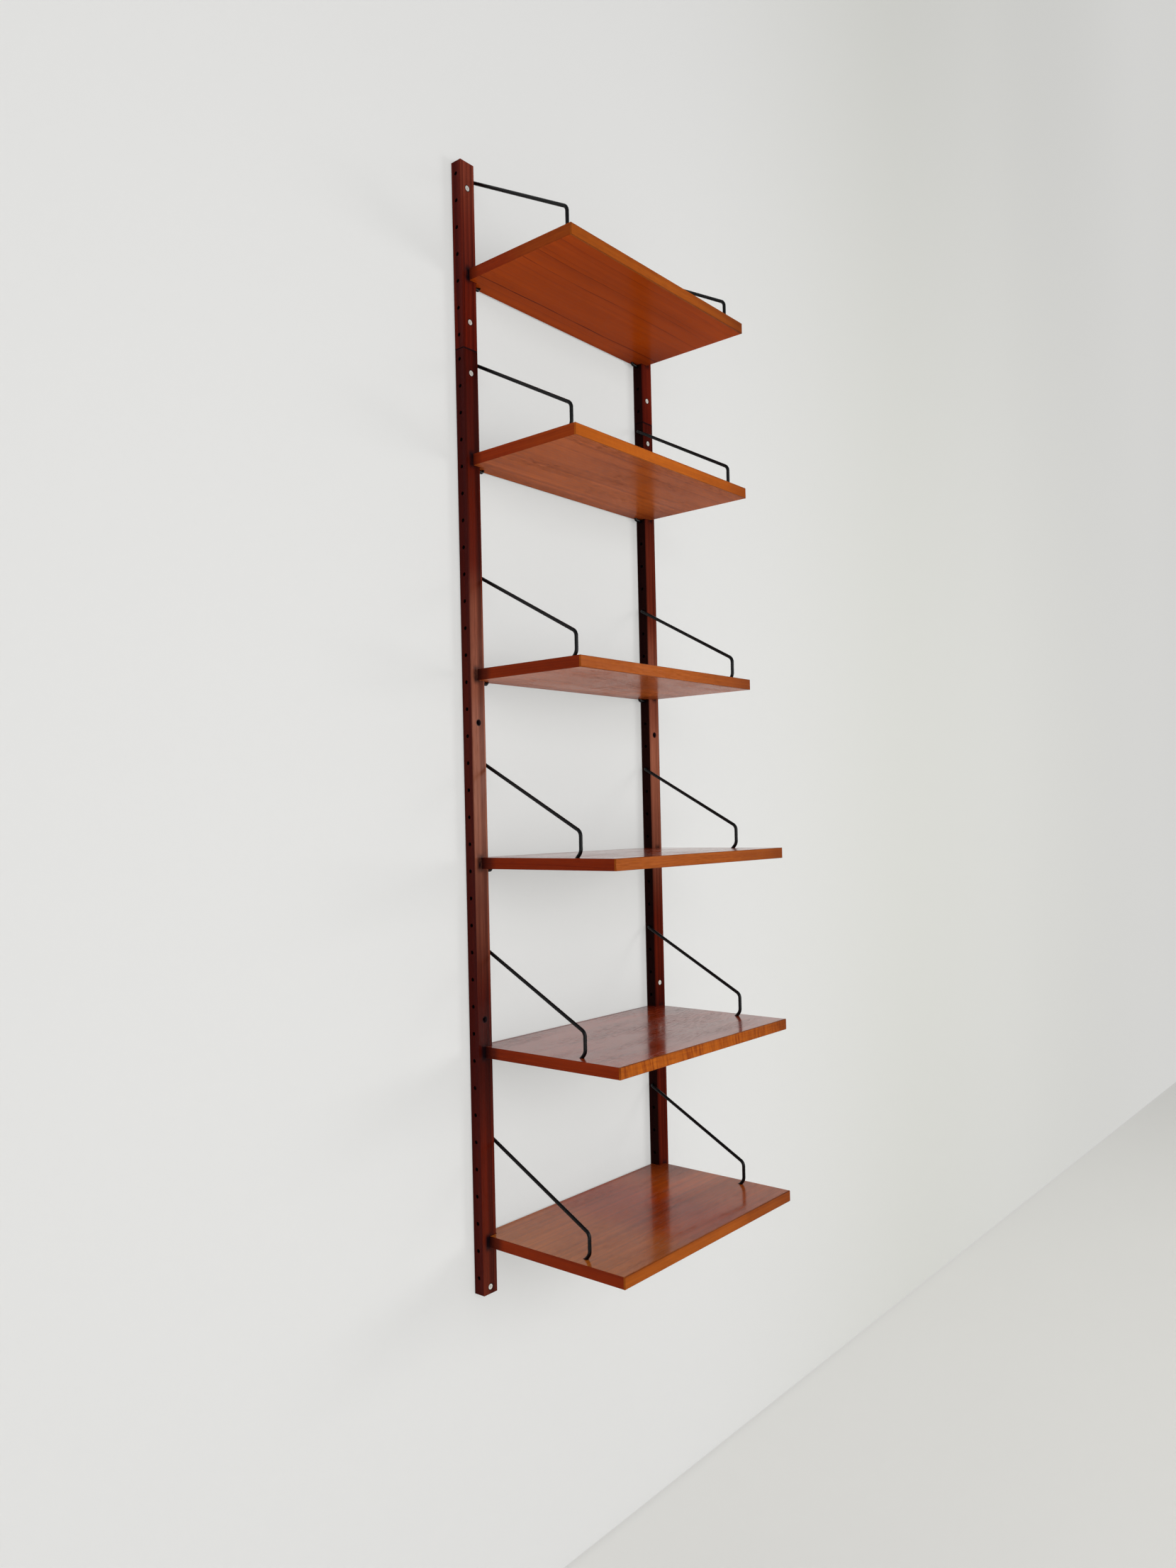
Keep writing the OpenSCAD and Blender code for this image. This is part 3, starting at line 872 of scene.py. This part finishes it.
class BOOKCASE_OT_screws(bpy.types.Operator):
    """Turn the wall screws, with the frame's heads and necks and a real thread in the wall"""

    bl_idname = "bookcase.screws"
    bl_label = "Wall screws"

    def execute(self, context):
        metal = context.scene.bookcase_metal
        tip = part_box("wall_screws")[1].y
        bm = merged_copy("wall_screws")
        bmesh.ops.bisect_plane(
            bm, geom=bm.verts[:] + bm.edges[:] + bm.faces[:], plane_co=(0, NECK_END, 0), plane_no=(0, 1, 0),
            clear_outer=True
        )
        necks = bmesh.ops.holes_fill(bm, edges=[e for e in bm.edges if e.is_boundary])["faces"]
        for axis in [neck.calc_center_median() for neck in necks]:
            self.turn_thread(bm, axis, tip, metal)
        add_piece("wall_screw_set", bm, [self.zinc(metal)], "rails", "screw_zinc", "wall_screws")
        return {"FINISHED"}

    def turn_thread(self, bm, axis, tip, metal):
        """A pointed core, and a sharp ridge wound round it that runs out at the tip."""
        start, core, pitch = axis.y, metal.core_radius, metal.thread_pitch
        base, point = start - CORE_IN_NECK, tip - THREAD_POINT
        outline = [(0, base), (core, base), (core, point), (CORE_TIP_RADIUS, tip), (0, tip)]
        verts = [bm.verts.new((axis.x + r, y, axis.z)) for r, y in outline]
        edges = [bm.edges.new(pair) for pair in zip(verts, verts[1:])]
        around = {"cent": axis, "axis": (0, 1, 0)}
        bmesh.ops.spin(bm, geom=verts + edges, angle=math.tau, steps=CORE_STEPS, use_merge=True, **around)
        turns = int((tip - start - THREAD_RUN_OUT) / pitch)
        foot, half = core - THREAD_SUNK, 0.3 * pitch
        ridge = [(foot, -half), (THREAD_CREST, 0.0), (foot, half)]
        corners = [bm.verts.new((axis.x + r, start + THREAD_START + y, axis.z)) for r, y in ridge]
        bmesh.ops.spin(
            bm, geom=[bm.faces.new(corners)], dvec=(0, pitch / THREAD_STEPS, 0), angle=math.tau * turns,
            steps=THREAD_STEPS * turns, **around
        )
        for v in bm.verts:
            reach = (v.co - axis).xz
            if point < v.co.y < tip and reach.length < THREAD_REACH:
                left = max(0.05, (tip - v.co.y) / THREAD_POINT)
                if reach.length > core * left + 0.00005:
                    shrunk = reach.normalized() * (core * left + (reach.length - core) * left)
                    v.co.x, v.co.z = axis.x + shrunk.x, axis.z + shrunk.y

    def zinc(self, metal):
        material, tree, place = empty_material("screw_zinc")
        dulled = ramp(tree, noise(tree, place, 300.0, 3.0), 0.5, 0.7, 0.0, 0.5)
        tone = blend_colour(tree, dulled, metal.screw_colour, (0.55, 0.53, 0.5))
        gloss = ramp(tree, noise(tree, place, 900.0, 2.0), 0.3, 0.7, 0.34, 0.5)
        finish_surface(tree, {"Base Color": tone, "Roughness": gloss, "Metallic": 0.5})
        return material


class BOOKCASE_OT_stage(bpy.types.Operator):
    """Build the wall, floor, lights and camera"""

    bl_idname = "bookcase.stage"
    bl_label = "Room and camera"

    def execute(self, context):
        scene, stage = context.scene, context.scene.bookcase_stage
        self.add_wall(stage)
        self.add_floor(stage)
        self.light_room(scene, stage)
        camera = bpy.data.objects.new("camera", bpy.data.cameras.new("camera"))
        scene.collection.objects.link(camera)
        camera.data.lens = stage.lens
        camera.data.sensor_width = 36
        camera.data.shift_x, camera.data.shift_y = stage.camera_shift
        camera.location = stage.camera_place
        camera.rotation_euler = stage.camera_turn
        camera.data.clip_end = 100
        scene.camera = camera
        scene.view_settings.view_transform = "Standard"
        return {"FINISHED"}

    def add_sheet(self, name, size, matrix, material):
        bm = bmesh.new()
        bmesh.ops.create_grid(bm, x_segments=1, y_segments=1, size=0.5, matrix=matrix @ Matrix.Diagonal((*size, 1, 1)))
        sheet = new_object(name, bm, [material])
        sheet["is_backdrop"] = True

    def finish_backdrop(self, tree, shader, glow, share, openness=None):
        """Evens a backdrop out with a share of a pale glow that only the camera and reflections see."""
        path = node(tree, "LightPath").outputs
        seen = maths(tree, "ADD", path["Is Camera Ray"], path["Is Glossy Ray"], clamp=True)
        glowing = node(tree, "Emission", {"Color": glow, "Strength": 1.0}).outputs[0]
        surface = node(tree, "MixShader", {0: maths(tree, "MULTIPLY", seen, share), 1: shader.outputs[0], 2: glowing})
        if openness is not None:
            clear = node(tree, "BsdfTransparent").outputs[0]
            surface = node(tree, "MixShader", {0: openness, 1: surface.outputs[0], 2: clear})
        node(tree, "OutputMaterial", {"Surface": surface.outputs[0]})

    def add_wall(self, stage):
        """The wall shows from the front only, so the back of the bookcase can be seen through it."""
        material, tree, place = empty_material("wall_paint")
        bump = node(tree, "Bump", {"Height": noise(tree, place, 350.0, 3.0), "Distance": 0.0003, "Strength": 0.25})
        # Painted shade: the wall darkens away from the bookcase, where the lamps light it less.
        further = share_along(tree, place, "X", ((0.3, 0.0), (1.6, 1.0)))
        tone = blend_colour(tree, further, stage.wall_colour, stage.wall_far_colour)
        painted = node(
            tree,
            "BsdfPrincipled",
            {"Base Color": tone, "Roughness": 0.75, "Specular IOR Level": 0.2, "Normal": bump.outputs[0]},
        )
        path = node(tree, "LightPath").outputs
        unseen = maths(tree, "SUBTRACT", 1.0, path["Is Camera Ray"])
        near = maths(tree, "MULTIPLY", maths(tree, "LESS_THAN", path["Ray Length"], 0.02), unseen)
        open_at = maths(tree, "MAXIMUM", near, node(tree, "NewGeometry").outputs["Backfacing"])
        self.finish_backdrop(tree, painted, WALL_GLOW, share_along(tree, place, "X", WALL_GLOW_SHARES), open_at)
        upright = Matrix.Rotation(math.radians(90), 4, "X")
        middle = Matrix.Translation((ROOM_X, 0.0005, stage.floor_height + WALL_SIZE[1] / 2))
        self.add_sheet("wall", WALL_SIZE, middle @ upright, material)

    def add_floor(self, stage):
        material, tree, place = empty_material("floor_screed")
        cloud = ramp(tree, noise(tree, place, 1.5, 4.0), 0.3, 0.7, 0.0, 0.12)
        tone = blend_colour(tree, cloud, stage.floor_colour, (0.6, 0.6, 0.6))
        screed = node(tree, "BsdfPrincipled", {"Base Color": tone, "Roughness": 0.6, "Specular IOR Level": 0.2})
        self.finish_backdrop(tree, screed, FLOOR_GLOW, FLOOR_GLOW_SHARE)
        middle = Matrix.Translation((ROOM_X, -FLOOR_SIZE[1] / 2, stage.floor_height))
        self.add_sheet("floor", FLOOR_SIZE, middle, material)

    def light_room(self, scene, stage):
        world = bpy.data.worlds.new("soft_daylight")
        world.use_nodes = True
        tree = world.node_tree
        tree.nodes.clear()
        seen = node(tree, "LightPath").outputs["Is Camera Ray"]
        strength = maths(tree, "MULTIPLY_ADD", seen, stage.world_seen - stage.world_strength, stage.world_strength)
        sky = node(tree, "Background", {"Color": (1.0, 1.0, 0.995), "Strength": strength})
        node(tree, "OutputWorld", {"Surface": sky.outputs[0]})
        scene.world = world
        self.add_light("window", (2.7, -2.9, 0.15), (1.3, 1.0), stage.window_power, (1.0, 0.995, 0.985))
        self.add_light("front", (-1.0, -3.5, 0.1), (3.6, 2.8), stage.front_power, (1.0, 1.0, 1.0))

    def add_light(self, name, place, size, power, colour):
        """A broad lamp that points at the bookcase."""
        light = bpy.data.lights.new(name, "AREA")
        light.shape = "RECTANGLE"
        light.size, light.size_y = size
        light.energy = power
        light.color = colour
        lamp = bpy.data.objects.new(name, light)
        lamp.location = place
        lamp.rotation_euler = (LAMP_TARGET - lamp.location).to_track_quat("-Z", "Y").to_euler()
        bpy.context.scene.collection.objects.link(lamp)


class BOOKCASE_PT_panel(bpy.types.Panel):
    """The bookcase's steps and settings"""

    bl_label = "Bookcase"
    bl_idname = "BOOKCASE_PT_panel"
    bl_space_type = "VIEW_3D"
    bl_region_type = "UI"
    bl_category = "Bookcase"

    def draw(self, context):
        for operator in OPERATORS:
            self.layout.operator(operator.bl_idname)
        for name, group in SETTINGS.items():
            box = self.layout.box()
            for setting in group.__annotations__:
                box.prop(getattr(context.scene, name), setting)


SETTINGS = {
    "bookcase_teak": TeakSettings,
    "bookcase_board": BoardSettings,
    "bookcase_metal": MetalSettings,
    "bookcase_stage": StageSettings,
}
OPERATORS = (
    BOOKCASE_OT_rails,
    BOOKCASE_OT_shelves,
    BOOKCASE_OT_front_strips,
    BOOKCASE_OT_rods,
    BOOKCASE_OT_screws,
    BOOKCASE_OT_stage,
)
CLASSES = (*SETTINGS.values(), *OPERATORS, BOOKCASE_PT_panel)


def register():
    for cls in CLASSES:
        bpy.utils.register_class(cls)
    for name, group in SETTINGS.items():
        setattr(bpy.types.Scene, name, PointerProperty(type=group))


def unregister():
    for name in SETTINGS:
        delattr(bpy.types.Scene, name)
    for cls in reversed(CLASSES):
        bpy.utils.unregister_class(cls)


def main():
    register()
    bpy.ops.bookcase.rails()
    bpy.ops.bookcase.shelves()
    bpy.ops.bookcase.front_strips()
    bpy.ops.bookcase.rods()
    bpy.ops.bookcase.screws()
    bpy.ops.bookcase.stage()
    boxes = {name: [list(corner) for corner in box] for name, box in (("cad", CAD_BOX), ("visual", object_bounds()))}


if __name__ == "__main__":
    main()
